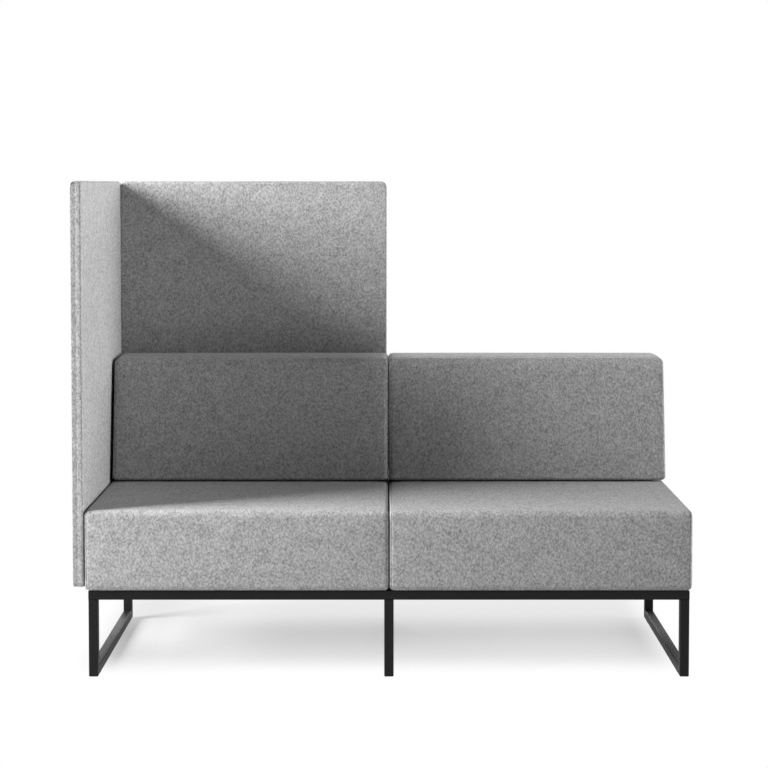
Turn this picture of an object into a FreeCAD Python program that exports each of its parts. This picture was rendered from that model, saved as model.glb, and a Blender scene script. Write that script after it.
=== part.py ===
import FreeCAD, Part
import operator
import os

import Sketcher

Vector = FreeCAD.Vector
Rotation = FreeCAD.Rotation

doc = FreeCAD.newDocument("ModularSofa")
sheet = doc.addObject("Spreadsheet::Sheet", "Dimensions")

# Driving dimensions in millimetres
DIMENSIONS = {
    # seat modules
    "module_width": 800,
    "module_gap": 3,
    "seat_depth": 766,
    "seat_thickness": 212,
    "seat_crown": 3,
    "seat_bulge": 2,
    "seat_draw": 2,
    "seat_round": 11,
    # backrests
    "back_side_inset": 3,
    "back_height": 346,
    "back_base_depth": 277,
    "back_top_depth": 206,
    "back_crown": 2,
    "back_bulge": 3,
    "back_draw": 2,
    "back_round": 18,
    # upholstery layers
    "cover_thickness": 2,
    "seat_turn_under": 110,
    "back_turn_under": 60,
    "layer_clearance": 0.3,
    "seat_board_thickness": 18,
    "back_board_thickness": 15,
    "board_inset": 20,
    "cloth_thickness": 1,
    # screen panels
    "panel_thickness": 26,
    "panel_height": 1070,
    "panel_lift": 8,
    "panel_gap": 5,
    "panel_end_inset": 5,
    "panel_pad": 3,
    "panel_corner_round": 16,
    "panel_edge_round": 10,
    "panel_seam_inset": 10,
    "panel_seam_width": 1.6,
    "panel_seam_depth": 1.2,
    # welded frame
    "frame_height": 232,
    "frame_front_inset": 8,
    "frame_rear_inset": 44,
    "frame_side_inset": 8,
    "tube_size": 25,
    "tube_wall": 2,
    "tube_corner": 3,
    # brackets
    "bracket_width": 40,
    "bracket_thickness": 8,
    "bracket_inset": 160,
    "bracket_end_margin": 17,
    "tab_inset": 150,
    "lug_width": 40,
    "lug_reach": 36,
    "lug_thickness": 5,
    "lug_round": 6,
    "lug_hole_reach": 22,
    # glides
    "glide_head": 3,
    "glide_lip": 1,
    "glide_radius": 11,
    "glide_stem_radius": 4,
    "glide_stem_length": 12,
    "glide_inset": 60,
    # fasteners
    "thread_radius": 3,
    "thread_engagement": 10,
    "fit_clearance": 0.1,
    "bolt_hole_radius": 3.5,
    "button_head_radius": 5.5,
    "button_head_height": 3.5,
    "sunk_head_radius": 6,
    "sunk_head_height": 3,
    "tee_flange_radius": 9.5,
    "tee_flange_thickness": 1.5,
    "tee_barrel_radius": 4,
    "tee_barrel_length": 12,
    "insert_radius": 5,
    "insert_length": 12,
    "connector_length": 70,
    "connector_head_radius": 5,
    "connector_head_height": 3,
    # fastener places
    "seat_bolt_inset": 120,
    "back_bolt_low": 90,
    "back_bolt_high": 215,
    "panel_bolt_low": 150,
    "panel_bolt_high": 250,
    "tab_bolt_low": 33,
    "tab_bolt_high": 73,
    "connector_end_inset": 107,
}
CONNECTOR_COUNT = 4
OVERRUN = 1  # how far a cutting tool runs past the wall it cuts
DRAW_OVERRUN = 5  # how far the arc of a drawn-in side runs past the corners

for row, (alias, millimetres) in enumerate(DIMENSIONS.items(), start=1):
    sheet.set(f"A{row}", alias.replace("_", " "))
    sheet.set(f"B{row}", str(millimetres))
    sheet.setAlias(f"B{row}", alias)
doc.recompute()


class Size:
    """A number kept together with the sheet formula that drives it."""

    def __init__(self, number, formula):
        self.number = number
        self.formula = formula

    def join(self, sign, work, other, swapped=False):
        left, right = (as_size(other), self) if swapped else (self, as_size(other))
        return Size(work(left.number, right.number), f"({left.formula} {sign} {right.formula})")

    def __add__(self, other):
        return self.join("+", operator.add, other)

    def __radd__(self, other):
        return self.join("+", operator.add, other, swapped=True)

    def __sub__(self, other):
        return self.join("-", operator.sub, other)

    def __rsub__(self, other):
        return self.join("-", operator.sub, other, swapped=True)

    def __mul__(self, other):
        return self.join("*", operator.mul, other)

    def __rmul__(self, other):
        return self.join("*", operator.mul, other, swapped=True)

    def __truediv__(self, other):
        return self.join("/", operator.truediv, other)


def as_size(value):
    return value if isinstance(value, Size) else Size(value, str(value))


class Sheet:
    """Every driving dimension by its alias."""

    def __init__(self):
        for alias in DIMENSIONS:
            setattr(self, alias, Size(float(sheet.get(alias)), f"Dimensions.{alias}"))


d = Sheet()
NOTHING = as_size(0)
PIECES = []

# Turns that point a part's own Z axis, or its own X axis in plan
TO_TOP = Rotation()
TO_REAR = Rotation(Vector(1, 0, 0), -90)
TO_FRONT = Rotation(Vector(1, 0, 0), 90)
TO_RIGHT = Rotation(Vector(0, 1, 0), 90)
TO_LEFT = Rotation(Vector(0, 1, 0), -90)
QUARTER_LEFT = Rotation(Vector(0, 0, 1), 90)
QUARTER_RIGHT = Rotation(Vector(0, 0, 1), -90)
HALF_TURN = Rotation(Vector(0, 0, 1), 180)


def bind(feature, **sizes):
    for name, value in sizes.items():
        feature.setExpression(name, as_size(value).formula)


def place(feature, x=0, y=0, z=0, turn=TO_TOP):
    feature.Placement = FreeCAD.Placement(Vector(), turn)
    for letter, value in zip("xyz", (x, y, z)):
        feature.setExpression(f"Placement.Base.{letter}", as_size(value).formula)


def primitive(kind, name, at, turn, **sizes):
    feature = doc.addObject(f"Part::{kind}", name)
    bind(feature, **sizes)
    place(feature, *at, turn)
    return feature


def cylinder(name, at, turn, radius, height):
    return primitive("Cylinder", name, at, turn, Radius=radius, Height=height)


def cone(name, at, turn, low_radius, high_radius, height):
    return primitive("Cone", name, at, turn, Radius1=low_radius, Radius2=high_radius, Height=height)


def centred_box(name, x, y, z, width, depth, height):
    corner = (x - width / 2, y, z)
    return primitive("Box", name, corner, TO_TOP, Length=width, Width=depth, Height=height)


def add(body, kind, name, **sizes):
    feature = body.newObject(f"PartDesign::{kind}", name)
    bind(feature, **sizes)
    return feature


def drill(body, name, at, turn, radius, depth):
    place(add(body, "SubtractiveCylinder", name, Radius=radius, Height=depth), *at, turn)


def round_edges(body, base, name, radius, wanted):
    doc.recompute()
    rounded = add(body, "Fillet", name, Radius=radius)
    edges = enumerate(base.Shape.Edges, start=1)
    rounded.Base = (base, [f"Edge{number}" for number, edge in edges if wanted(edge)])
    return rounded


def runs_along(axis):
    return lambda edge: abs(edge.tangentAt(edge.FirstParameter).dot(axis)) > 0.999


def group(name, members):
    compound = doc.addObject("Part::Compound", name)
    compound.Links = members
    return compound


def fuse(name, members):
    joined = doc.addObject("Part::MultiFuse", name)
    joined.Shapes = members
    joined.Refine = True
    return joined


def cut(name, base, *tools):
    for tool in tools:
        rest = doc.addObject("Part::Cut", name)
        rest.Base = base
        rest.Tool = tool
        base = rest
    return base


def holes(name, places, turn, radius, depth):
    return group(name, [cylinder(name, at, turn, radius, depth) for at in places])


def keep(label, feature):
    feature.Label = label
    PIECES.append(feature)
    return feature


def sketch_on(body, role, name):
    sketch = body.newObject("Sketcher::SketchObject", name)
    plane = next(item for item in body.Origin.OriginFeatures if item.Role == role)
    sketch.AttachmentSupport = [(plane, "")]
    sketch.MapMode = "FlatFace"
    return sketch


def end_at(sketch, edge, point):
    return min((1, 2), key=lambda end: (sketch.getPoint(edge, end) - point).Length)


def constrain(sketch, value, kind, *targets):
    index = sketch.addConstraint(Sketcher.Constraint(kind, *targets, value.number))
    name = f"{kind}{index}"
    sketch.renameConstraint(index, name)
    sketch.setExpression(f"Constraints.{name}", value.formula)


def outline(sketch, corners, bows):
    """Closed outline through the corners; an edge with a bow is an arc bowed to its left."""
    corners = [(as_size(x), as_size(y)) for x, y in corners]
    points = [Vector(x.number, y.number, 0) for x, y in corners]
    edges = []
    for i, bow in enumerate(bows):
        j = (i + 1) % len(corners)
        if bow is None:
            edges.append(sketch.addGeometry(Part.LineSegment(points[i], points[j]), False))
            continue
        along = (points[j] - points[i]).normalize()
        middle = (points[i] + points[j]) * 0.5 + Vector(-along.y, along.x, 0) * bow.number
        edges.append(sketch.addGeometry(Part.Arc(points[i], middle, points[j]), False))
        run, rise = corners[j][0] - corners[i][0], corners[j][1] - corners[i][1]
        constrain(sketch, (run * run + rise * rise) / (8 * bow) + bow / 2, "Radius", edges[-1])
    for i, point in enumerate(points):
        before, after = [(edge, end_at(sketch, edge, point)) for edge in (edges[i - 1], edges[i])]
        sketch.addConstraint(Sketcher.Constraint("Coincident", *before, *after))
        constrain(sketch, corners[i][0], "DistanceX", -1, 1, *after)
        constrain(sketch, corners[i][1], "DistanceY", -1, 1, *after)


# Shared planes: the floor is Z 0, the front faces -Y, the outline is centred on the origin
CENTRE = (d.panel_gap + d.panel_thickness) / 2 + d.module_gap / 4
FRONT = (d.seat_depth + d.bracket_thickness + d.panel_thickness) / -2
REAR = FRONT + d.seat_depth
PANEL_FRONT = REAR + d.bracket_thickness
PANEL_BASE = d.frame_height + d.panel_lift
SIDE_FACE = CENTRE - d.module_width - d.panel_gap
FRAME_LEFT = CENTRE - d.module_width + d.frame_side_inset
FRAME_RIGHT = CENTRE + d.module_width - d.frame_side_inset
FRAME_FRONT = FRONT + d.frame_front_inset
FRAME_REAR = REAR - d.frame_rear_inset
RAIL_BASE = d.frame_height - d.tube_size
SEAT_TOP = d.frame_height + d.seat_thickness + d.seat_crown

# What repeats, by name and place
SIDES = (-1, 1)
MODULES = {"left": CENTRE - d.module_width / 2, "right": CENTRE + d.module_width / 2}
LOOPS = {
    "left": FRAME_LEFT,
    "centre": CENTRE - d.tube_size / 2,
    "right": FRAME_RIGHT - d.tube_size,
}
bracket_reach = d.module_width / 2 - d.bracket_inset
BRACKETS = {
    "left_outer": MODULES["left"] - bracket_reach,
    "left_inner": MODULES["left"] + bracket_reach,
    "right_inner": MODULES["right"] - bracket_reach,
    "right_outer": MODULES["right"] + bracket_reach,
}
TABS = {"front": FRAME_FRONT + d.tab_inset, "rear": FRAME_REAR - d.tab_inset}
seat_bolt_reach = d.module_width / 2 - d.seat_bolt_inset
BACK_BOLT_HEIGHTS = [SEAT_TOP + d.back_bolt_low, SEAT_TOP + d.back_bolt_high]
PANEL_BOLT_HEIGHTS = [SEAT_TOP + d.panel_bolt_low, SEAT_TOP + d.panel_bolt_high]
TAB_BOLT_HEIGHTS = [PANEL_BASE + d.tab_bolt_low, PANEL_BASE + d.tab_bolt_high]


# Square tube with mitred or square ends, its length along X and its outer side at Y 0
def square_tube(label, length, start_mitre, end_mitre):
    side = d.tube_size
    bore_side = side - 2 * d.tube_wall
    body = doc.addObject("PartDesign::Body", label)
    outside = add(body, "AdditiveWedge", f"{label}_outside", Xmin=0, Ymin=0, Zmin=0, Z2min=0)
    bind(outside, Xmax=length, Ymax=side, Zmax=side, Z2max=side)
    bind(outside, X2min=side * start_mitre, X2max=length - side * end_mitre)
    round_edges(body, outside, f"{label}_corners", d.tube_corner, runs_along(Vector(1, 0, 0)))
    bore = add(body, "SubtractiveBox", f"{label}_bore", Length=length)
    bind(bore, Width=bore_side, Height=bore_side)
    place(bore, 0, d.tube_wall, d.tube_wall)
    return keep(label, body)


# Top ring of the frame, mitred at its corners, with a cross rail over the middle loop
frame_width = FRAME_RIGHT - FRAME_LEFT
frame_depth = FRAME_REAR - FRAME_FRONT
tube_middle = d.tube_size / 2
RAILS = {
    "front_rail": (frame_width, FRAME_LEFT, FRAME_FRONT, TO_TOP),
    "rear_rail": (frame_width, FRAME_RIGHT, FRAME_REAR, HALF_TURN),
    "left_side_rail": (frame_depth, FRAME_LEFT, FRAME_REAR, QUARTER_RIGHT),
    "right_side_rail": (frame_depth, FRAME_RIGHT, FRAME_FRONT, QUARTER_LEFT),
}
for label, (length, x, y, turn) in RAILS.items():
    rail = square_tube(label, length, 1, 1)
    place(rail, x, y, RAIL_BASE, turn)
cross_rail = square_tube("centre_cross_rail", frame_depth - 2 * d.tube_size, 0, 0)
place(cross_rail, CENTRE + tube_middle, FRAME_FRONT + d.tube_size, RAIL_BASE, QUARTER_LEFT)

# Sled loops at both ends and the middle: two legs mitred to a floor runner, butted under the ring
leg_length = RAIL_BASE - d.glide_head
rear_leg_turn = Rotation(Vector(1, 0, 1), 180)
runner_turn = Rotation(Vector(1, 1, 1), 120)
through_wall = d.tube_wall + 2 * OVERRUN
for loop, x in LOOPS.items():
    front_leg = square_tube(f"front_{loop}_leg", leg_length, 1, 0)
    place(front_leg, x + d.tube_size, FRAME_FRONT, d.glide_head, TO_LEFT)
    rear_leg = square_tube(f"rear_{loop}_leg", leg_length, 1, 0)
    place(rear_leg, x, FRAME_REAR, d.glide_head, rear_leg_turn)
    runner = square_tube(f"{loop}_runner", frame_depth, 1, 1)
    place(runner, x, FRAME_FRONT, d.glide_head, runner_turn)
    for along in (d.glide_inset, frame_depth - d.glide_inset):
        at = (along, -OVERRUN, tube_middle)
        drill(runner, f"{loop}_glide_hole", at, TO_REAR, d.glide_stem_radius + d.fit_clearance, through_wall)

# Glides: a plastic foot with a bevelled lip and a stem pushed into the runner
head_height = d.glide_head - d.glide_lip
for loop, x in LOOPS.items():
    for end, y in (("front", FRAME_FRONT + d.glide_inset), ("rear", FRAME_REAR - d.glide_inset)):
        name = f"{end}_{loop}_glide"
        low = (x + tube_middle, y, 0)
        high = (x + tube_middle, y, d.glide_lip)
        stem_height = head_height + d.glide_stem_length
        lip = cone(f"{name}_lip", low, TO_TOP, d.glide_radius - d.glide_lip, d.glide_radius, d.glide_lip)
        head = cylinder(f"{name}_head", high, TO_TOP, d.glide_radius, head_height)
        stem = cylinder(f"{name}_stem", high, TO_TOP, d.glide_stem_radius, stem_height)
        keep(name, fuse(f"{name}_whole", [lip, head, stem]))

# Seat lugs, welded inside the front and rear rails, flush with the frame top
lug_base = d.frame_height - d.lug_thickness
LUG_LINES = {"front": (FRAME_FRONT + d.tube_size, 1), "rear": (FRAME_REAR - d.tube_size, -1)}
SEAT_BOLT_LINES = [y + inward * d.lug_hole_reach for y, inward in LUG_LINES.values()]


def at_free_end(edge):
    return runs_along(Vector(0, 0, 1))(edge) and edge.CenterOfMass.y > d.lug_reach.number / 2


lugs = []
for module, module_x in MODULES.items():
    for side in SIDES:
        x = module_x + side * seat_bolt_reach
        for end, (y, inward) in LUG_LINES.items():
            name = f"{module}_{end}_lug"
            lug = doc.addObject("PartDesign::Body", name)
            size = {"Length": d.lug_width, "Width": d.lug_reach, "Height": d.lug_thickness}
            plate = add(lug, "AdditiveBox", f"{name}_plate", **size)
            round_edges(lug, plate, f"{name}_corners", d.lug_round, at_free_end)
            middle = (d.lug_width / 2, d.lug_hole_reach, -OVERRUN)
            drill(lug, f"{name}_hole", middle, TO_TOP, d.bolt_hole_radius, d.lug_thickness + 2 * OVERRUN)
            place(lug, x - inward * d.lug_width / 2, y, lug_base, TO_TOP if inward > 0 else HALF_TURN)
            lugs.append(lug)
keep("seat_lugs", group("seat_lug_set", lugs))


# Countersunk bolt, its flush face at its place
def sunk_bolt(name, at, turn, length):
    head = cone(f"{name}_head", at, turn, d.sunk_head_radius, d.thread_radius, d.sunk_head_height)
    shank = cylinder(f"{name}_shank", at, turn, d.thread_radius, length)
    return fuse(name, [head, shank])


# Tee nut: a flange on the board's face and a threaded barrel let into the board
def tee_nut(name, flange_at, barrel_at, turn):
    length = d.tee_flange_thickness + d.tee_barrel_length
    flange = cylinder(f"{name}_flange", flange_at, turn, d.tee_flange_radius, d.tee_flange_thickness)
    barrel = cylinder(f"{name}_barrel", barrel_at, turn, d.tee_barrel_radius, length)
    bore = cylinder(f"{name}_bore", barrel_at, turn, d.thread_radius + d.fit_clearance, length)
    return cut(f"{name}_threaded", fuse(name, [flange, barrel]), bore)


# Upholstered block: bowed front and crowned top in profile, sides drawn in, edges rounded
def cushion_form(name, width, depth, height, lean, crown, bulge, draw, rounding):
    body = doc.addObject("PartDesign::Body", name)
    profile = sketch_on(body, "YZ_Plane", f"{name}_profile")
    outline(profile, [(depth, 0), (0, 0), (lean, height), (depth, height)], [None, bulge, crown, None])
    block = add(body, "Pad", f"{name}_block", Length=width)
    block.Profile = profile
    block.SideType = "Symmetric"
    sides = sketch_on(body, "XY_Plane", f"{name}_sides")
    near, far = as_size(-DRAW_OVERRUN), depth + DRAW_OVERRUN
    outline(sides, [(width / 2, near), (width / 2, far)], [draw, None])
    outline(sides, [(width / -2, far), (width / -2, near)], [draw, None])
    drawn_in = add(body, "Pocket", f"{name}_drawn_in")
    drawn_in.Profile = sides
    drawn_in.Type = "ThroughAll"
    drawn_in.SideType = "Symmetric"
    round_edges(body, drawn_in, f"{name}_edges", rounding, lambda edge: True)
    return body


# Seats: fabric cover turned under a plywood board, foam above, dust cloth below, bolted to the lugs
seat_width = d.module_width - d.module_gap
board_base = d.frame_height + d.cover_thickness
board_top = board_base + d.seat_board_thickness
through_cover = d.cover_thickness + 2 * OVERRUN
seat_bolt_length = board_top - d.tee_barrel_length + d.thread_engagement - lug_base


def seat_form(name, x, inset):
    depth = d.seat_depth - d.seat_bulge - 2 * inset
    height = d.seat_thickness - 2 * inset
    bows = (d.seat_crown, d.seat_bulge, d.seat_draw)
    form = cushion_form(name, seat_width - 2 * inset, depth, height, 0, *bows, d.seat_round - inset)
    place(form, x, FRONT + d.seat_bulge + inset, d.frame_height + inset)
    return form


def seat_plate(name, x, z, inset, thickness):
    width = seat_width - 2 * inset
    return centred_box(name, x, FRONT + inset, z, width, d.seat_depth - 2 * inset, thickness)


def spots(xy_places, z):
    return [(x, y, z) for x, y in xy_places]


seat_bolts = []
seat_tee_nuts = []
for module, x in MODULES.items():
    name = f"{module}_seat"
    bolts = [(x + side * seat_bolt_reach, y) for side in SIDES for y in SEAT_BOLT_LINES]

    under = d.frame_height - OVERRUN
    mouth = seat_plate(f"{name}_mouth", x, under, d.seat_turn_under, through_cover)
    bolt_holes = holes(f"{name}_cover_hole", spots(bolts, under), TO_TOP, d.bolt_hole_radius, through_cover)
    outside = seat_form(f"{name}_outside", x, NOTHING)
    inside = seat_form(f"{name}_inside", x, d.cover_thickness)
    keep(f"{name}_cover", cut(f"{name}_cover_cut", outside, inside, mouth, bolt_holes))

    cloth_inset = d.seat_turn_under + d.layer_clearance
    cloth_base = board_base - d.cloth_thickness
    keep(f"{name}_dust_cloth", seat_plate(f"{name}_cloth", x, cloth_base, cloth_inset, d.cloth_thickness))

    plate = (x, board_base, d.board_inset, d.seat_board_thickness)
    barrel_room = d.tee_barrel_radius + d.fit_clearance
    through_board = d.seat_board_thickness + 2 * OVERRUN
    board_holes = spots(bolts, board_base - OVERRUN)
    bores = holes(f"{name}_board_hole", board_holes, TO_TOP, barrel_room, through_board)
    keep(f"{name}_board", cut(f"{name}_board_cut", seat_plate(f"{name}_board_blank", *plate), bores))

    block = seat_form(f"{name}_block", x, d.cover_thickness + d.layer_clearance)
    flange_room = d.tee_flange_thickness + OVERRUN
    nut_places = spots(bolts, board_top - OVERRUN)
    nut_room = holes(f"{name}_nut_room", nut_places, TO_TOP, d.tee_flange_radius, flange_room)
    keep(f"{name}_foam", cut(f"{name}_foam_cut", block, seat_plate(f"{name}_board_room", *plate), nut_room))

    for i, (bolt_x, bolt_y) in enumerate(bolts):
        head_at = (bolt_x, bolt_y, lug_base - d.button_head_height)
        shank_at = (bolt_x, bolt_y, lug_base)
        head = cylinder(f"{name}_bolt_head_{i}", head_at, TO_TOP, d.button_head_radius, d.button_head_height)
        shank = cylinder(f"{name}_bolt_shank_{i}", shank_at, TO_TOP, d.thread_radius, seat_bolt_length)
        seat_bolts.append(fuse(f"{name}_bolt_{i}", [head, shank]))
        flange_at = (bolt_x, bolt_y, board_top)
        barrel_at = (bolt_x, bolt_y, board_top - d.tee_barrel_length)
        seat_tee_nuts.append(tee_nut(f"{name}_tee_nut_{i}", flange_at, barrel_at, TO_TOP))
keep("seat_bolts", group("seat_bolt_set", seat_bolts))
keep("seat_tee_nuts", group("seat_tee_nut_set", seat_tee_nuts))


# Bent flat-bar bracket: a foot welded to the frame along Y and a drilled post at its far end
def angle_bracket(label, foot, thickness, height, sunk_inside, sunk_outside):
    body = doc.addObject("PartDesign::Body", label)
    width = d.bracket_width
    add(body, "AdditiveBox", f"{label}_foot", Length=width, Width=foot, Height=thickness)
    post = add(body, "AdditiveBox", f"{label}_post", Length=width, Width=thickness, Height=height)
    place(post, 0, foot - thickness, 0)

    def at_bend(edge):
        middle = edge.CenterOfMass
        outer = abs(middle.y - foot.number) < 0.01 and abs(middle.z) < 0.01
        return outer and runs_along(Vector(1, 0, 0))(edge)

    round_edges(body, post, f"{label}_bend", thickness, at_bend)
    sink_top = d.sunk_head_radius + d.fit_clearance
    sink_foot = d.thread_radius + d.fit_clearance
    for heights, face, turn in ((sunk_inside, foot - thickness, TO_REAR), (sunk_outside, foot, TO_FRONT)):
        for z in heights:
            behind = (width / 2, foot + OVERRUN, z)
            drill(body, f"{label}_hole", behind, TO_FRONT, d.bolt_hole_radius, thickness + 2 * OVERRUN)
            sink = add(body, "SubtractiveCone", f"{label}_sink", Height=d.sunk_head_height)
            bind(sink, Radius1=sink_top, Radius2=sink_foot)
            place(sink, width / 2, face, z, turn)
    return keep(label, body)


# Back brackets, welded behind the rear rail, drilled for a backrest and a screen panel
bracket_base = d.frame_height - d.bracket_thickness
bracket_height = PANEL_BOLT_HEIGHTS[-1] + d.bracket_end_margin - bracket_base
for side, x in BRACKETS.items():
    panel_heights = [z - bracket_base for z in PANEL_BOLT_HEIGHTS]
    back_heights = [z - bracket_base for z in BACK_BOLT_HEIGHTS]
    foot = PANEL_FRONT - FRAME_REAR
    size = (foot, d.bracket_thickness, bracket_height)
    bracket = angle_bracket(f"{side}_back_bracket", *size, panel_heights, back_heights)
    place(bracket, x - d.bracket_width / 2, FRAME_REAR, bracket_base)

# Side tabs, welded to the left side rail, drilled for the side panel
tab_base = d.frame_height - d.panel_gap
tab_height = TAB_BOLT_HEIGHTS[-1] + d.bracket_end_margin - tab_base
for end, y in TABS.items():
    size = (FRAME_LEFT - SIDE_FACE, d.panel_gap, tab_height)
    tab = angle_bracket(f"{end}_side_tab", *size, [z - tab_base for z in TAB_BOLT_HEIGHTS], [])
    place(tab, FRAME_LEFT, y - d.bracket_width / 2, tab_base, QUARTER_LEFT)

# Backrests: wedge cover over foam, with a plywood board at the rear for the bracket bolts
back_width = seat_width - 2 * d.back_side_inset
back_front = REAR - d.back_base_depth
board_rear = REAR - d.cover_thickness
board_front = board_rear - d.back_board_thickness
barrel_end = board_front + d.tee_barrel_length
back_bolt_length = PANEL_FRONT - barrel_end + d.thread_engagement


def back_form(name, x, inset):
    depth = d.back_base_depth - 2 * inset
    height = d.back_height - 2 * inset
    lean = d.back_base_depth - d.back_top_depth
    bows = (d.back_crown, d.back_bulge, d.back_draw)
    form = cushion_form(name, back_width - 2 * inset, depth, height, lean, *bows, d.back_round - inset)
    place(form, x, back_front + inset, SEAT_TOP + inset)
    return form


def back_plate(name, x):
    size = (back_width - 2 * d.board_inset, d.back_board_thickness, d.back_height - 2 * d.board_inset)
    return centred_box(name, x, board_front, SEAT_TOP + d.board_inset, *size)


back_bolts = []
back_tee_nuts = []
for module, x in MODULES.items():
    name = f"{module}_back"
    columns = [bracket_x for side, bracket_x in BRACKETS.items() if side.startswith(module)]
    bolts = [(bracket_x, z) for bracket_x in columns for z in BACK_BOLT_HEIGHTS]

    turned = d.back_turn_under
    mouth_size = (back_width - 2 * turned, d.back_base_depth - 2 * turned, through_cover)
    mouth = centred_box(f"{name}_mouth", x, back_front + turned, SEAT_TOP - OVERRUN, *mouth_size)
    behind = [(bolt_x, REAR + OVERRUN, z) for bolt_x, z in bolts]
    bolt_holes = holes(f"{name}_cover_hole", behind, TO_FRONT, d.bolt_hole_radius, through_cover)
    outside = back_form(f"{name}_outside", x, NOTHING)
    inside = back_form(f"{name}_inside", x, d.cover_thickness)
    keep(f"{name}_cover", cut(f"{name}_cover_cut", outside, inside, mouth, bolt_holes))

    through_board = d.back_board_thickness + 2 * OVERRUN
    board_holes = [(bolt_x, board_rear + OVERRUN, z) for bolt_x, z in bolts]
    barrel_room = d.tee_barrel_radius + d.fit_clearance
    bores = holes(f"{name}_board_hole", board_holes, TO_FRONT, barrel_room, through_board)
    keep(f"{name}_board", cut(f"{name}_board_cut", back_plate(f"{name}_board_blank", x), bores))

    block = back_form(f"{name}_block", x, d.cover_thickness + d.layer_clearance)
    nut_places = [(bolt_x, board_front + OVERRUN, z) for bolt_x, z in bolts]
    flange_room = d.tee_flange_thickness + OVERRUN
    nut_room = holes(f"{name}_nut_room", nut_places, TO_FRONT, d.tee_flange_radius, flange_room)
    keep(f"{name}_foam", cut(f"{name}_foam_cut", block, back_plate(f"{name}_board_room", x), nut_room))

    for i, (bolt_x, z) in enumerate(bolts):
        bolt = sunk_bolt(f"{name}_bolt_{i}", (bolt_x, PANEL_FRONT, z), TO_FRONT, back_bolt_length)
        back_bolts.append(bolt)
        flange_at = (bolt_x, board_front, z)
        barrel_at = (bolt_x, barrel_end, z)
        back_tee_nuts.append(tee_nut(f"{name}_tee_nut_{i}", flange_at, barrel_at, TO_FRONT))
keep("back_bolts", group("back_bolt_set", back_bolts))
keep("back_tee_nuts", group("back_tee_nut_set", back_tee_nuts))


# Flat rounded slab standing on Z 0, its length along X and its inner face at Y 0
def panel_slab(name, length, thickness, height, corner, edge=None):
    across = runs_along(Vector(0, 1, 0))
    body = doc.addObject("PartDesign::Body", name)
    slab = add(body, "AdditiveBox", f"{name}_slab", Length=length, Width=thickness, Height=height)
    rounded = round_edges(body, slab, f"{name}_corners", corner, across)
    if edge is not None:
        round_edges(body, rounded, f"{name}_edges", edge, lambda item: not across(item))
    return body


# Where the screen panels are fastened, through the cover and pad into the core
layer_depth = d.cover_thickness + d.panel_pad
through_layers = layer_depth + 2 * OVERRUN
insert_room = d.insert_radius + d.fit_clearance
back_columns = [x for side, x in BRACKETS.items() if side.startswith("left")]
back_bolt_spots = [(x, z) for x in back_columns for z in PANEL_BOLT_HEIGHTS]
side_bolt_spots = [(y, z) for y in TABS.values() for z in TAB_BOLT_HEIGHTS]
connector_x = SIDE_FACE - d.panel_thickness + layer_depth
connector_y = PANEL_FRONT + d.panel_thickness / 2
connector_pitch = (d.panel_height - 2 * d.connector_end_inset) / (CONNECTOR_COUNT - 1)
connector_base = PANEL_BASE + d.connector_end_inset
connector_spots = [
    (connector_x, connector_y, connector_base + connector_pitch * i) for i in range(CONNECTOR_COUNT)
]


# Screen panel: a board wrapped in thin foam, in a cover sewn along the panel's edge
def screen_panel(label, length, x, y, turn, bolt_holes, core_holes):
    ahead = turn.multVec(Vector(1, 0, 0))
    across = turn.multVec(Vector(0, 1, 0))

    def set_in(feature, along, through, up):
        place_x = x + ahead.x * along + across.x * through
        place_y = y + ahead.y * along + across.y * through
        place(feature, place_x, place_y, PANEL_BASE + up, turn)
        return feature

    def layer(name, inset, soft=True):
        size = (length - 2 * inset, d.panel_thickness - 2 * inset, d.panel_height - 2 * inset)
        edge = d.panel_edge_round - inset if soft else None
        slab = panel_slab(f"{label}_{name}", *size, d.panel_corner_round - inset, edge)
        return set_in(slab, inset, inset, inset)

    seam = d.panel_seam_depth
    seam_middle = d.panel_thickness - d.panel_seam_inset
    seam_inside = (length - 2 * seam, d.panel_seam_width, d.panel_height - 2 * seam)
    kept = panel_slab(f"{label}_in_seam", *seam_inside, d.panel_corner_round - seam)
    ring_size = {"Length": length + 2 * OVERRUN, "Width": d.panel_seam_width}
    ring = primitive("Box", f"{label}_ring", (0, 0, 0), TO_TOP, **ring_size)
    bind(ring, Height=d.panel_height + 2 * OVERRUN)
    set_in(kept, seam, seam_middle, seam)
    set_in(ring, as_size(-OVERRUN), seam_middle, as_size(-OVERRUN))
    groove = cut(f"{label}_groove", ring, kept)

    tunnel_radius = d.thread_radius + d.fit_clearance
    tunnels = holes(f"{label}_tunnel", connector_spots, TO_RIGHT, tunnel_radius, d.connector_length)
    outside = layer("outside", NOTHING)
    inside = layer("inside", d.cover_thickness)
    keep(f"{label}_cover", cut(f"{label}_cover_cut", outside, inside, groove, bolt_holes, tunnels))
    sheath = layer("sheath", d.cover_thickness + d.layer_clearance)
    core_room = layer("core_room", layer_depth, soft=False)
    keep(f"{label}_pad", cut(f"{label}_pad_cut", sheath, core_room, bolt_holes, tunnels))
    blank = layer("core_blank", layer_depth, soft=False)
    keep(f"{label}_core", cut(f"{label}_core_cut", blank, *core_holes, tunnels))


back_length = d.module_width + d.panel_gap - d.panel_end_inset
back_holes = [(x, PANEL_FRONT - OVERRUN, z) for x, z in back_bolt_spots]
back_inserts = [(x, PANEL_FRONT + layer_depth, z) for x, z in back_bolt_spots]
screen_panel(
    "back_panel",
    back_length,
    SIDE_FACE,
    PANEL_FRONT,
    TO_TOP,
    holes("back_panel_hole", back_holes, TO_REAR, d.bolt_hole_radius, through_layers),
    [holes("back_panel_insert_hole", back_inserts, TO_REAR, insert_room, d.insert_length)],
)

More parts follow.
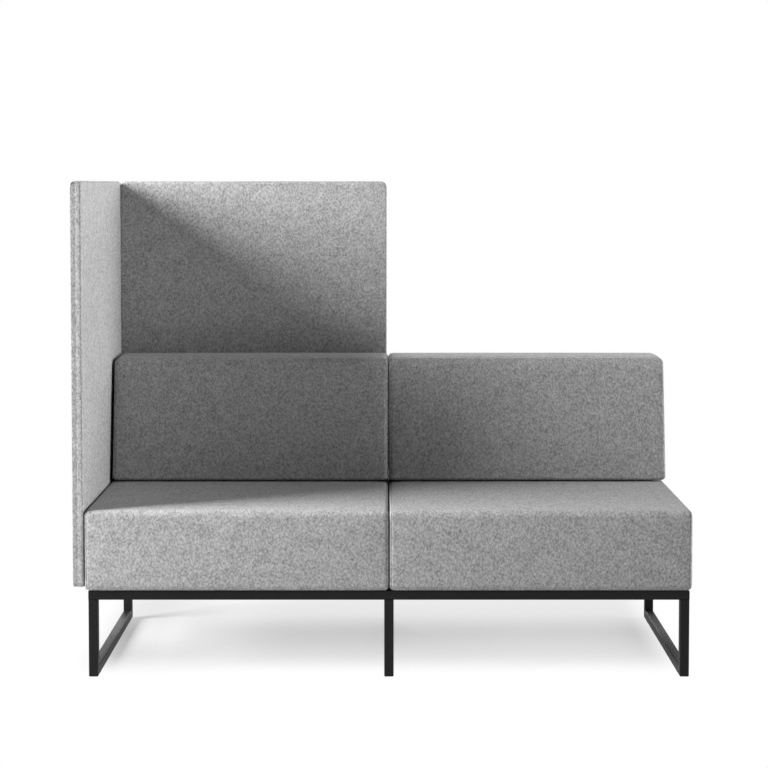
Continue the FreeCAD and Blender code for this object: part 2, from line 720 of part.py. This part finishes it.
side_length = PANEL_FRONT + d.panel_thickness - FRONT
side_holes = [(SIDE_FACE + OVERRUN, y, z) for y, z in side_bolt_spots]
side_inserts = [(SIDE_FACE - layer_depth, y, z) for y, z in side_bolt_spots]
head_room = d.connector_head_radius + d.fit_clearance
screen_panel(
    "side_panel",
    side_length,
    SIDE_FACE,
    FRONT,
    QUARTER_LEFT,
    holes("side_panel_hole", side_holes, TO_LEFT, d.bolt_hole_radius, through_layers),
    [
        holes("side_panel_insert_hole", side_inserts, TO_LEFT, insert_room, d.insert_length),
        holes("connector_head_room", connector_spots, TO_RIGHT, head_room, d.connector_head_height),
    ],
)

# Panel bolts and their threaded inserts
back_panel_bolt_length = d.bracket_thickness + layer_depth + d.thread_engagement
side_panel_bolt_length = d.panel_gap + layer_depth + d.thread_engagement
panel_bolts = []
for i, (x, z) in enumerate(back_bolt_spots):
    panel_bolts.append(sunk_bolt(f"back_panel_bolt_{i}", (x, REAR, z), TO_REAR, back_panel_bolt_length))
for i, (y, z) in enumerate(side_bolt_spots):
    at = (SIDE_FACE + d.panel_gap, y, z)
    panel_bolts.append(sunk_bolt(f"side_panel_bolt_{i}", at, TO_LEFT, side_panel_bolt_length))
keep("panel_bolts", group("panel_bolt_set", panel_bolts))

panel_inserts = []
for turn, places in ((TO_REAR, back_inserts), (TO_LEFT, side_inserts)):
    for at in places:
        sleeve = cylinder("panel_insert_sleeve", at, turn, d.insert_radius, d.insert_length)
        bore = cylinder("panel_insert_bore", at, turn, d.thread_radius + d.fit_clearance, d.insert_length)
        panel_inserts.append(cut("panel_insert", sleeve, bore))
keep("panel_inserts", group("panel_insert_set", panel_inserts))

# Screws that draw the back panel's end against the side panel
connectors = []
for at in connector_spots:
    head = cylinder("connector_head", at, TO_RIGHT, d.connector_head_radius, d.connector_head_height)
    shank = cylinder("connector_shank", at, TO_RIGHT, d.thread_radius, d.connector_length)
    connectors.append(fuse("connector", [head, shank]))
keep("corner_connectors", group("connector_set", connectors))

# Check every object, then write one file for each piece
doc.recompute()
for item in doc.Objects:
    if "Invalid" in item.State or "Error" in item.State:
        raise RuntimeError(f"{item.Label} did not build: {item.State}")
for item in PIECES:
    if item.Shape.isNull() or not item.Shape.isValid():
        raise RuntimeError(f"{item.Label} has no valid shape")
os.makedirs("parts", exist_ok=True)
for item in PIECES:
    item.Shape.exportStep(f"parts/{item.Label}.step")
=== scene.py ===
import math

import bpy
import numpy as np
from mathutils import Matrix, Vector


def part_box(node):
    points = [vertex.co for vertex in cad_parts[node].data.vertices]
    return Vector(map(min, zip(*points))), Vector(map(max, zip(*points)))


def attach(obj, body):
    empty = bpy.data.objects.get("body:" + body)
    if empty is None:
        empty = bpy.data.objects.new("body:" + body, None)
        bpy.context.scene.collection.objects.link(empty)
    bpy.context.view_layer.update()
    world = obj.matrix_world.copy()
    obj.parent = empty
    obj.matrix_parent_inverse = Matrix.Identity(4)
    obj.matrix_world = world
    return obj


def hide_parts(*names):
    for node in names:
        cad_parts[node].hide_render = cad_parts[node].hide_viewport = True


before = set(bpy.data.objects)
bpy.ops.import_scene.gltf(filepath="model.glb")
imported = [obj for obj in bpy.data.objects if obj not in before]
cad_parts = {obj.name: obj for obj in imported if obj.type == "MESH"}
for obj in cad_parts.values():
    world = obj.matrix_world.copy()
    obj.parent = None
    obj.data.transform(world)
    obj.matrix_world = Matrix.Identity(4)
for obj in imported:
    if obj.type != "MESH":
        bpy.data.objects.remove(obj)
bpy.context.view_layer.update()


# Frame: square steel tube welded into a ring on three sled loops, with flat-bar lugs, brackets and tabs
# welded on for the upholstery. The whole weldment is powder coated in one go, in a fine satin black.
class Wire:
    """A shader socket to reckon with: operators add Math nodes, node() adds any other."""

    def __init__(self, tree, socket=None):
        self.tree = tree
        self.socket = socket

    def node(self, kind, settings=None, values=None, output=0):
        made = self.tree.nodes.new("ShaderNode" + kind)
        for name, value in (settings or {}).items():
            if name == "stops":
                for stop, (position, grey) in zip(made.color_ramp.elements, value):
                    stop.position = position
                    stop.color = (grey, grey, grey, 1)
            else:
                setattr(made, name, value)
        for name, value in (values or {}).items():
            if isinstance(value, Wire):
                self.tree.links.new(value.socket, made.inputs[name])
            else:
                made.inputs[name].default_value = value
        return Wire(self.tree, made.outputs[output] if made.outputs else None)

    def maths(self, operation, first, second):
        return self.node("Math", {"operation": operation}, {0: first, 1: second})

    def __add__(self, other):
        return self.maths("ADD", self, other)

    def __radd__(self, other):
        return self.maths("ADD", other, self)

    def __sub__(self, other):
        return self.maths("SUBTRACT", self, other)

    def __rsub__(self, other):
        return self.maths("SUBTRACT", other, self)

    def __mul__(self, other):
        return self.maths("MULTIPLY", self, other)

    def __rmul__(self, other):
        return self.maths("MULTIPLY", other, self)

    def __abs__(self):
        return self.maths("ABSOLUTE", self, 0.0)


def new_finish(name):
    material = bpy.data.materials.new(name)
    material.use_nodes = True
    material.node_tree.nodes.clear()
    return material, Wire(material.node_tree)


def blend(wire, factor, low, high):
    return wire.node("Mix", {"data_type": "RGBA"}, {0: factor, 6: low, 7: high}, output=2)


def surface(wire, sockets):
    shader = wire.node("BsdfPrincipled", {}, sockets)
    wire.node("OutputMaterial", {}, {"Surface": shader})


def coat(material, nodes):
    for name in nodes:
        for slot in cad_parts[name].material_slots:
            slot.material = material


coat_deep = (0.007, 0.007, 0.0075, 1)
coat_pale = (0.011, 0.011, 0.0118, 1)
coat_roughness = 0.48
cloud_roughness = 0.10
peel_roughness = 0.06
powder_coat, w = new_finish("powder_coat")
place = w.node("TexCoord", output="Object")
peel = w.node("TexNoise", {}, {"Vector": place, "Scale": 700.0, "Detail": 2.0, "Roughness": 0.5})
cloud = w.node("TexNoise", {}, {"Vector": place, "Scale": 14.0, "Detail": 4.0})
relief = w.node("Bump", {}, {"Strength": 0.02, "Distance": 0.0003, "Height": peel})
surface(
    w,
    {
        "Base Color": blend(w, cloud, coat_deep, coat_pale),
        "Roughness": coat_roughness + cloud_roughness * cloud + peel_roughness * peel,
        "Specular IOR Level": 0.16,
        "Normal": relief,
    },
)

ends = ("front", "rear")
loops = ("left", "centre", "right")
tubes = ["front_rail", "rear_rail", "left_side_rail", "right_side_rail", "centre_cross_rail"]
tubes += [f"{end}_{loop}_leg" for end in ends for loop in loops]
tubes += [f"{loop}_runner" for loop in loops]
flat_bar = ["seat_lugs", "left_outer_back_bracket", "left_inner_back_bracket"]
flat_bar += ["right_inner_back_bracket", "right_outer_back_bracket", "front_side_tab", "rear_side_tab"]
coat(powder_coat, tubes + flat_bar)


# Glides: six black nylon feet, moulded in one piece with a stem and pushed into the runners.
# They keep the coated tube off the floor, and are scuffed a little paler in patches.
nylon_black = (0.012, 0.012, 0.013, 1)
nylon_scuffed = (0.040, 0.040, 0.042, 1)
nylon_roughness = 0.45
scuff_roughness = 0.2
nylon, w = new_finish("glide_nylon")
place = w.node("TexCoord", output="Object")
scuff = w.node("TexNoise", {}, {"Vector": place, "Scale": 260.0, "Detail": 5.0, "Roughness": 0.7})
relief = w.node("Bump", {}, {"Strength": 0.2, "Distance": 0.0003, "Height": scuff})
surface(
    w,
    {
        "Base Color": blend(w, scuff, nylon_black, nylon_scuffed),
        "Roughness": nylon_roughness + scuff_roughness * scuff,
        "Normal": relief,
    },
)
coat(nylon, [f"{end}_{loop}_glide" for end in ends for loop in loops])


# Boards: birch plywood under the seats and behind the backrests, chipboard inside the screen panels.
# They are cut and drilled bare, and closed in by the upholstery.
birch_dark = (0.62, 0.45, 0.27, 1)
birch_pale = (0.78, 0.62, 0.42, 1)
birch_roughness = 0.55
grain_roughness = 0.2
plywood, w = new_finish("birch_plywood")
place = w.node("TexCoord", output="Object")
drawn = w.node("Mapping", {}, {"Vector": place, "Scale": (4.0, 60.0, 60.0)})
grain = w.node("TexNoise", {}, {"Vector": drawn, "Scale": 3.0, "Detail": 6.0, "Roughness": 0.6})
relief = w.node("Bump", {}, {"Strength": 0.15, "Distance": 0.0004, "Height": grain})
surface(
    w,
    {
        "Base Color": blend(w, grain, birch_dark, birch_pale),
        "Roughness": birch_roughness + grain_roughness * grain,
        "Normal": relief,
    },
)
coat(plywood, ["left_seat_board", "right_seat_board", "left_back_board", "right_back_board"])

chip_dark = (0.50, 0.36, 0.21, 1)
chip_pale = (0.68, 0.53, 0.35, 1)
board_roughness = 0.7
chip_roughness = 0.2
chipboard, w = new_finish("chipboard")
place = w.node("TexCoord", output="Object")
chips = w.node("TexVoronoi", {}, {"Vector": place, "Scale": 160.0}, output="Distance")
relief = w.node("Bump", {}, {"Strength": 0.3, "Distance": 0.0008, "Height": chips})
surface(
    w,
    {
        "Base Color": blend(w, chips, chip_dark, chip_pale),
        "Roughness": board_roughness + chip_roughness * chips,
        "Normal": relief,
    },
)
coat(chipboard, ["back_panel_core", "side_panel_core"])


# Fasteners: zinc-plated bolts, tee nuts, threaded inserts and corner screws, bought in.
# The plating is bright and slightly mottled.
zinc_dull = (0.27, 0.275, 0.29, 1)
zinc_bright = (0.42, 0.425, 0.44, 1)
zinc_roughness = 0.30
mottle_roughness = 0.2
zinc, w = new_finish("zinc_plate")
place = w.node("TexCoord", output="Object")
mottle = w.node("TexNoise", {}, {"Vector": place, "Scale": 420.0, "Detail": 4.0})
surface(
    w,
    {
        "Base Color": blend(w, mottle, zinc_dull, zinc_bright),
        "Metallic": 1.0,
        "Roughness": zinc_roughness + mottle_roughness * mottle,
    },
)
bought_in = ["seat_bolts", "seat_tee_nuts", "back_bolts", "back_tee_nuts"]
bought_in += ["panel_bolts", "panel_inserts", "corner_connectors"]
coat(zinc, bought_in)


# Seats: a foam block on a board, in a wool felt cover sewn from one wrap and two side pieces, pulled
# tight and stapled under the board. The seams run round the side edges; the top and front are crowned.
felt_dark = (0.183, 0.183, 0.183, 1)
felt_pale = (0.552, 0.552, 0.552, 1)
fleck_share = 0.62
fibre_share = 0.28
drift_share = 0.10
melange_stops = ((0.36, 0.0), (0.64, 1.0))
felt, w = new_finish("melange_felt")
place = w.node("TexCoord", output="Object")
laid = w.node("Mapping", {}, {"Vector": place, "Rotation": (0.5, 0.7, 0.3), "Scale": (1.0, 0.85, 0.72)})
flecks = w.node("TexNoise", {}, {"Vector": laid, "Scale": 205.0, "Detail": 3.0, "Roughness": 0.62})
fibres = w.node("TexNoise", {}, {"Vector": laid, "Scale": 950.0, "Detail": 3.0, "Roughness": 0.7})
drift = w.node("TexNoise", {}, {"Vector": place, "Scale": 34.0, "Detail": 2.0})
tone = fleck_share * flecks + fibre_share * fibres + drift_share * drift
melange = w.node("ValToRGB", {"stops": melange_stops}, {"Fac": tone})
nap = w.node("Bump", {}, {"Strength": 0.45, "Distance": 0.0007, "Height": 0.5 * flecks + 0.5 * fibres})
surface(
    w,
    {
        "Base Color": blend(w, melange, felt_dark, felt_pale),
        "Roughness": 0.92,
        "Specular IOR Level": 0.12,
        "Sheen Weight": 0.03,
        "Sheen Roughness": 0.55,
        "Normal": nap,
    },
)

# Angles, from the corner to the flat, at which a rounded edge is divided; a sewn one is finer at its seam
seam_angle = 16
round_angles = (45, 36, 27, 18, 9, 0)
sewn_angles = (45, 36, 27, seam_angle + 3, seam_angle, seam_angle - 3, 7, 0)
seam_step = sewn_angles.index(seam_angle)
seam_shape = (1.0, 0.35, 0.10, 0.0)
tiny = 1e-9


def steps(length, turn, pitch):
    """Places to divide one side of a block: at the given turn from both edges, even between them."""
    bend = turn[-1]
    even = np.linspace(bend, length - bend, round((length - 2 * bend) / pitch) + 1)
    return np.array(turn[:-1] + list(even) + [length - inset for inset in reversed(turn[:-1])])


def round_turn(radius, angles):
    return [radius * (1 - math.tan(math.radians(angle))) for angle in angles]


def divided_box(xs, ys, zs):
    """Lattice numbers, places and four-sided faces of a box divided at the given places."""
    last = (len(xs) - 1, len(ys) - 1, len(zs) - 1)
    numbers = {}
    faces = []
    for axis, one, two in ((0, 1, 2), (1, 2, 0), (2, 0, 1)):
        for end in (0, last[axis]):
            for i in range(last[one]):
                for j in range(last[two]):
                    ring = [(i, j), (i + 1, j), (i + 1, j + 1), (i, j + 1)]
                    face = []
                    for a, b in ring if end else reversed(ring):
                        key = [0, 0, 0]
                        key[axis], key[one], key[two] = end, a, b
                        face.append(numbers.setdefault(tuple(key), len(numbers)))
                    faces.append(face)
    keys = np.array(list(numbers))
    return keys, np.stack([xs[keys[:, 0]], ys[keys[:, 1]], zs[keys[:, 2]]], axis=1), faces


def rounded(points, size, radii):
    inner = np.clip(points, radii, size - radii)
    out = (points - inner) / radii
    return inner + radii * out / np.linalg.norm(out, axis=1, keepdims=True)


def node_corners(node):
    return (np.array(corner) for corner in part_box(node))


def new_piece(name, points, faces, material, *replaced):
    mesh = bpy.data.meshes.new(name)
    mesh.from_pydata(points.tolist(), [], faces)
    mesh.polygons.foreach_set("use_smooth", [True] * len(faces))
    mesh.materials.append(material)
    piece = bpy.data.objects.new(name, mesh)
    bpy.context.scene.collection.objects.link(piece)
    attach(piece, "sofa")
    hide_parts(*replaced)
    return piece


def corner_places(mesh):
    flat = np.empty(len(mesh.vertices) * 3)
    mesh.vertices.foreach_get("co", flat)
    return flat.reshape(-1, 3)


def outward(mesh):
    flat = np.empty(len(mesh.vertices) * 3)
    mesh.vertex_normals.foreach_get("vector", flat)
    return flat.reshape(-1, 3)


def ease(distance, width):
    part = np.clip(distance / width, 0, 1)
    return part * part * (3 - 2 * part)


least_give = 0.0001
most_give = 0.003
give_width = 0.060
fill_frames = 20


def puff(piece, stapled, pressure, from_next):
    """Fills the sewn cover against its stapled side; beside the next cushion it hardly gives."""
    group = piece.vertex_groups.new(name="stapled")
    group.add(stapled.tolist(), 1.0, "REPLACE")
    cloth = piece.modifiers.new("cover", "CLOTH")
    cloth.settings.quality = 4
    cloth.settings.use_pressure = True
    cloth.settings.uniform_pressure_force = pressure
    cloth.settings.vertex_group_mass = "stapled"
    cloth.settings.effector_weights.gravity = 0
    for number in range(1, fill_frames + 1):
        bpy.context.scene.frame_set(number)
    blown = corner_places(piece.evaluated_get(bpy.context.evaluated_depsgraph_get()).data)
    piece.modifiers.remove(cloth)
    bpy.context.scene.frame_set(1)
    flat = corner_places(piece.data)
    move = blown - flat
    reach = np.linalg.norm(move, axis=1, keepdims=True) + tiny
    most = (least_give + (most_give - least_give) * ease(from_next, give_width))[:, None]
    limited = most * np.tanh(reach / most)
    piece.data.vertices.foreach_set("co", (flat + move * limited / reach).ravel())
    piece.data.update()


def sew(piece, count, depth):
    """Draws in the seams that run round the two ends of a piece, counted in lattice steps along it."""
    last = count.max()
    from_seam = abs(np.minimum(count, last - count) - seam_step)
    pull = depth * np.interp(from_seam, range(len(seam_shape)), seam_shape)
    pull[(count == 0) | (count == last)] = 0.0
    drawn_in = corner_places(piece.data) - outward(piece.data) * pull[:, None]
    piece.data.vertices.foreach_set("co", drawn_in.ravel())
    piece.data.update()


def soften(piece):
    smooth = piece.modifiers.new("soft", "SUBSURF")
    smooth.levels = 1
    smooth.render_levels = 1


modules = ("left", "right")
seat_pitch = 0.012
seat_seam = 0.0026
seat_round = np.array((0.010, 0.012, 0.016))
seat_crown = 0.003
seat_recess = 0.0024
seat_turned_under = 0.110
seat_pressure = 0.04
seat_reach = {"left": (0.0041, 0.0014), "right": (0.0014, 0.0)}  # how far the filling pushes each end out
for module in modules:
    low, high = node_corners(f"{module}_seat_cover")
    low[0] -= seat_reach[module][0]
    high[0] += seat_reach[module][1]
    high[2] -= seat_crown
    size = high - low
    angles = (sewn_angles, round_angles, round_angles)
    turns = [round_turn(radius, kind) for radius, kind in zip(seat_round, angles)]
    keys, flat, faces = divided_box(*(steps(side, turn, seat_pitch) for side, turn in zip(size, turns)))
    points = rounded(flat, size, seat_round)
    inset = np.minimum(flat, size - flat)
    mouth = (flat[:, 2] < tiny) & (inset[:, :2].min(axis=1) > seat_turned_under)
    points[mouth, 2] += seat_recess
    solids = (f"{module}_seat_cover", f"{module}_seat_foam")
    seat = new_piece(f"{module}_seat_cushion", low + points, faces, felt, *solids)
    from_next = inset[:, 0] if module == "left" else flat[:, 0]
    puff(seat, np.flatnonzero(flat[:, 2] < seat_round[2]), seat_pressure, from_next)
    sew(seat, keys[:, 0], seat_seam)
    soften(seat)


# Dust cloths: black spun-bonded sheet stapled over the open middle of each seat's underside.
# It is pulled flat but sags a little between the staples.
cloth_black = (0.014, 0.014, 0.015, 1)
cloth_grey = (0.034, 0.034, 0.036, 1)
cloth_roughness = 0.85
dot_roughness = 0.1
nonwoven, w = new_finish("spun_bond")
place = w.node("TexCoord", output="Object")
dots = w.node("TexVoronoi", {}, {"Vector": place, "Scale": 420.0}, output="Distance")
relief = w.node("Bump", {}, {"Strength": 0.5, "Distance": 0.0003, "Height": dots})
surface(
    w,
    {
        "Base Color": blend(w, dots, cloth_black, cloth_grey),
        "Roughness": cloth_roughness + dot_roughness * dots,
        "Normal": relief,
    },
)

cloth_sag = 0.004
cloth_sag_spread = 0.6
cloth_pucker = 0.00015
cloth_puckers = 13
cloth_parts = 28


def hump(share):
    """Rises from 0 at both ends of a side to 1 at its middle."""
    return 4 * share * (1 - share)


for module in modules:
    low, high = node_corners(f"{module}_seat_dust_cloth")
    spread = (high - low)[:2]
    places = np.linspace(0, 1, cloth_parts + 1)
    grid = np.array([(x, y) for y in places for x in places])
    dip = np.prod(hump(grid), axis=1) ** cloth_sag_spread
    wave = np.cos(grid[:, 0] * cloth_puckers * math.tau)
    pucker = cloth_pucker * wave * (1 - dip) * np.abs(grid[:, 1] - 0.5)
    points = np.column_stack([low[:2] + grid * spread, low[2] - cloth_sag * dip + pucker])
    row = cloth_parts + 1
    corners = [y * row + x for y in range(cloth_parts) for x in range(cloth_parts)]
    faces = [(n, n + row, n + row + 1, n + 1) for n in corners]
    cloth = new_piece(f"{module}_dust_sheet", points, faces, nonwoven, f"{module}_seat_dust_cloth")
    soften(cloth)


# Backrests: wedge-shaped foam on a board at the rear, in the same felt, sewn like the seats.
# They stand on the seats and are bolted through the brackets behind them. The filling rolls the top
# front edge back, crowns the top and lifts the lower front edge a little off the seat.
back_pitch = 0.012
back_seam = 0.0010
back_edge = 0.012
back_top_depth = 0.206
back_crown = 0.003
back_crown_front = 0.3
back_crown_side_fade = 0.15
back_crown_top_fade = 6
back_roll = 0.024
back_roll_end = 0.85
back_roll_fade = 3
back_lift = 0.003
back_lift_fade = 8
back_stapled_from = 0.9
back_pressure = 0.05
back_reach = {"left": (0.0, 0.0049), "right": (0.0049, 0.0030)}  # how far the filling pushes each end out


def pillowed(flat, size, corner, edge):
    """Rounds a block's outline, as seen from the front, by corner and the rims of that outline by edge."""
    plane = flat[:, [0, 2]]
    inner = np.clip(plane, corner, size[[0, 2]] - corner)
    out = plane - inner
    ring = abs(out).max(axis=1)
    heading = out / (np.linalg.norm(out, axis=1, keepdims=True) + tiny)
    over = np.maximum(ring - (corner - edge), 0)
    middle = np.clip(flat[:, 1], edge, size[1] - edge)
    rise = flat[:, 1] - middle
    shrink = edge / (np.hypot(over, rise) + tiny)
    spot = inner + heading * (ring - over + over * shrink)[:, None]
    return np.stack([spot[:, 0], middle + rise * shrink, spot[:, 1]], axis=1), heading


for module in modules:
    low, high = node_corners(f"{module}_back_cover")
    low[0] -= back_reach[module][0]
    high[0] += back_reach[module][1]
    size = high - low
    turns = [round_turn(back_edge, kind) for kind in (sewn_angles, round_angles, round_angles)]
    keys, flat, faces = divided_box(*(steps(side, turn, back_pitch) for side, turn in zip(size, turns)))
    points = pillowed(flat, size, back_edge, back_edge)[0]
    share = flat / size
    to_front = 1 - share[:, 1]
    up = np.clip(1 - (size[2] - points[:, 2]) / back_roll, 0, back_roll_end)
    points[:, 1] += back_roll * (1 - np.sqrt(1 - up**2)) * to_front**back_roll_fade
    points[:, 2] += back_lift * (1 - share[:, 2]) ** back_lift_fade * to_front
    crown = hump(share[:, 0]) ** back_crown_side_fade * (hump(share[:, 1]) + back_crown_front)
    points[:, 2] += back_crown * share[:, 2] ** back_crown_top_fade * crown
    depth = size[1] + (back_top_depth - size[1]) * points[:, 2] / size[2]
    points[:, 1] = size[1] - (size[1] - points[:, 1]) * depth / size[1]
    solids = (f"{module}_back_cover", f"{module}_back_foam")
    back = new_piece(f"{module}_back_cushion", low + points, faces, felt, *solids)
    from_next = np.minimum(flat[:, 0], size[0] - flat[:, 0]) if module == "left" else flat[:, 0]
    stapled = (flat[:, 2] < back_edge) | (share[:, 1] > back_stapled_from)
    puff(back, np.flatnonzero(stapled), back_pressure, from_next)
    sew(back, keys[:, 0], back_seam)
    soften(back)


# Screen panels: a board wrapped in thin foam, in two felt faces sewn together along the panel's edge.
# The side panel is screwed to the tabs, the back panel to the brackets, and the two to each other.
# The side panel is a little plumper on the sitter's side, and the back panel stops short of it.
panel_corner = 0.018
panel_edge = 0.0024
panel_top_edge = 0.011
panel_plump = 0.0019
panel_crown = 0.0008
panel_pitch = 0.020
panel_turn = [panel_corner * part for part in (0.0, 0.16, 0.28, 0.38, 0.56, 0.78, 1.0)]
# Where a panel's edge is divided, from the sitter's side to the outside, closer where it turns or is sewn
band_steps = np.array(
    (0.0, 1.2, 2.2, 3.2, 4.2, 5.5, 7.5, 9.5, 11.2)
    + (13.0, 14.8, 16.5, 18.5, 20.5, 22.0, 23.4, 24.7, 26.0)
)
# Where each seam runs across that edge, as a share of it, how deep it is drawn in and how wide it is
panel_seams = ((0.54, 0.0006, 0.0030), (0.065, 0.0008, 0.0011))
for panel in ("back", "side"):
    low, high = node_corners(f"{panel}_panel_cover")
    if panel == "back":
        low[0] += panel_plump
        size = high - low
    else:
        high[0] += panel_plump
        size = (high - low)[[1, 0, 2]]
    length, thickness, height = size
    along, upright = (steps(side, panel_turn, panel_pitch) for side in (length, height))
    band = band_steps * thickness / band_steps[-1]
    _, flat, faces = divided_box(along, band, upright)
    upper = np.clip(1 - (height - flat[:, 2]) / panel_corner, 0, 1)
    edge = panel_edge + (panel_top_edge - panel_edge) * upper
    points, heading = pillowed(flat, size, panel_corner, edge)
    plane = flat[:, [0, 2]]
    rim = np.minimum(plane, size[[0, 2]] - plane).min(axis=1) < tiny
    for at, drawn_in, width in panel_seams:
        groove = drawn_in * np.exp(-(((flat[:, 1] - at * thickness) / width) ** 2)) * rim
        points[:, [0, 2]] -= heading * groove[:, None]
    swell = panel_crown * np.sqrt(np.prod(hump(plane / size[[0, 2]]), axis=1))
    points[:, 1] += np.where(rim, 0, np.sign(flat[:, 1] - thickness / 2)) * swell
    if panel == "side":
        points = points[:, [1, 0, 2]]
        points[:, 0] = thickness - points[:, 0]
    solids = (f"{panel}_panel_cover", f"{panel}_panel_pad")
    cover = new_piece(f"{panel}_panel_cushion", low + points, faces, felt, *solids)
    soften(cover)


# Studio: a plain pale floor that runs out to white and keeps the soft shade under the sofa, with a grey
# shade painted into the white under the sofa's left end, a large soft key from the left, a broad low fill
# from the right and a little light from behind. A net beside the side panel holds the key off its outer
# face.
floor_half = 30.0
shade_sides = (0.85, 0.72)
shade_rear = (0.80, 0.50)
shade_front = (-0.37, -0.10)
core_at = 0.13
core_reach = 0.30
shade_depth = 0.29
core_depth = 0.22
# Painted shade: where, and how grey, the floor's white is painted under the left end of the sofa
painted_shade_span = (-0.40, -0.70)
painted_shade_grey = (0.70, 0.70, 0.70, 1)


def stand(name, corners, material):
    """Sets up one flat sheet of the studio, which isn't part of the object."""
    mesh = bpy.data.meshes.new(name)
    mesh.from_pydata(corners, [], [(0, 1, 2, 3)])
    mesh.materials.append(material)
    sheet = bpy.data.objects.new(name, mesh)
    bpy.context.scene.collection.objects.link(sheet)
    return sheet


def seen_straight(wire):
    """1 where the camera sees the surface itself, mirrored or through something clear; 0 for its light."""
    camera_ray = wire.node("LightPath", output="Is Camera Ray")
    glossy_ray = wire.node("LightPath", output="Is Glossy Ray")
    clear_ray = wire.node("LightPath", output="Is Transmission Ray")
    return wire.maths("MAXIMUM", camera_ray, wire.maths("MAXIMUM", glossy_ray, clear_ray))


def ramp(value, start, end):
    """Runs smoothly from 0 at start to 1 at end, whichever is the larger."""
    limits = {"Value": value, 1: start, 2: end, 3: 0.0, 4: 1.0}
    return value.node("MapRange", {"interpolation_type": "SMOOTHSTEP"}, limits)


paint, w = new_finish("floor_paint")
place = w.node("TexCoord", output="Object")
floor_x = w.node("SeparateXYZ", {}, {0: place}, output="X")
floor_y = w.node("SeparateXYZ", {}, {0: place}, output="Y")
below = ramp(abs(floor_x), *shade_sides) * ramp(floor_y, *shade_rear) * ramp(floor_y, *shade_front)
core = ramp(abs(floor_y - core_at), core_reach, 0.0)
fade = 1.0 - below * (shade_depth + core_depth * core)
# Painted shade: the floor's white is painted grey under the sofa, deepening towards its left end
painted_shade = blend(w, below * ramp(floor_x, *painted_shade_span), (1, 1, 1, 1), painted_shade_grey)
dull = w.node("BsdfDiffuse", {}, {"Color": (0.6, 0.6, 0.6, 1)})
white = w.node("Emission", {}, {"Color": painted_shade, "Strength": 1.0})
shown = w.node("MixShader", {}, {0: seen_straight(w) * fade, 1: dull, 2: white})
w.node("OutputMaterial", {}, {"Surface": shown})
floor_corners = [(-floor_half, -floor_half), (floor_half, -floor_half)]
floor_corners += [(floor_half, floor_half), (-floor_half, floor_half)]
stand("floor", [(x, y, 0) for x, y in floor_corners], paint)

world = bpy.data.worlds.new("studio")
bpy.context.scene.world = world
world.use_nodes = True
world.node_tree.nodes.clear()
w = Wire(world.node_tree)
sky = w.node("Background", {}, {"Color": (1, 1, 1, 1), "Strength": seen_straight(w)})
w.node("OutputWorld", {}, {"Surface": sky})


def hang(light, at, towards):
    lamp = bpy.data.objects.new(light.name, light)
    lamp.location = at
    lamp.rotation_euler = (Vector(towards) - Vector(at)).to_track_quat("-Z", "Y").to_euler()
    bpy.context.scene.collection.objects.link(lamp)


def soft_box(name, at, towards, width, height, watts):
    light = bpy.data.lights.new(name, "AREA")
    light.shape = "RECTANGLE"
    light.size = width
    light.size_y = height
    light.energy = watts
    hang(light, at, towards)


soft_box("key", at=(-4.0, -1.2, 2.48), towards=(-0.4, 0.0, 0.7), width=1.6, height=1.9, watts=495)
soft_box("rear", at=(-0.4, 4.8, 2.6), towards=(0.0, 0.4, 0.7), width=3.0, height=1.2, watts=180)
fill = bpy.data.lights.new("fill", "SUN")
fill.energy = 5.9
fill.angle = math.radians(50)
hang(fill, at=(0.0, 0.0, 0.0), towards=(-1.0, 0.0, -0.05))

net_off = 0.008
net_before = 0.003
net_above = 0.006
net_pass = (0.18, 0.18, 0.18, 1)
gauze, w = new_finish("gauze")
w.node("OutputMaterial", {}, {"Surface": w.node("BsdfTransparent", {}, {"Color": net_pass})})
low, high = node_corners("side_panel_cover")
net_x = low[0] - net_off
net_front = low[1] - net_before
net_top = high[2] + net_above
net_corners = [(net_front, low[2]), (high[1], low[2]), (high[1], net_top), (net_front, net_top)]
net = stand("net", [(net_x, y, z) for y, z in net_corners], gauze)
net.visible_camera = False
net.visible_diffuse = False
net.visible_glossy = False
net.visible_transmission = False


# Camera: level with the top of the panels and five and a half metres from the middle of the sofa, with
# a long lens. It looks slightly down, and a small lens shift keeps the uprights nearly upright.
view = bpy.data.cameras.new("camera")
view.lens = 91.851
view.sensor_width = 36.0
view.shift_y = -0.13
look_down = 2.898
camera = bpy.data.objects.new("camera", view)
camera.location = (0.0032, -5.5046, 1.2988)
camera.rotation_euler = (math.radians(90 - look_down), 0, 0)
bpy.context.scene.collection.objects.link(camera)
bpy.context.scene.camera = camera
bpy.context.scene.view_settings.view_transform = "Standard"
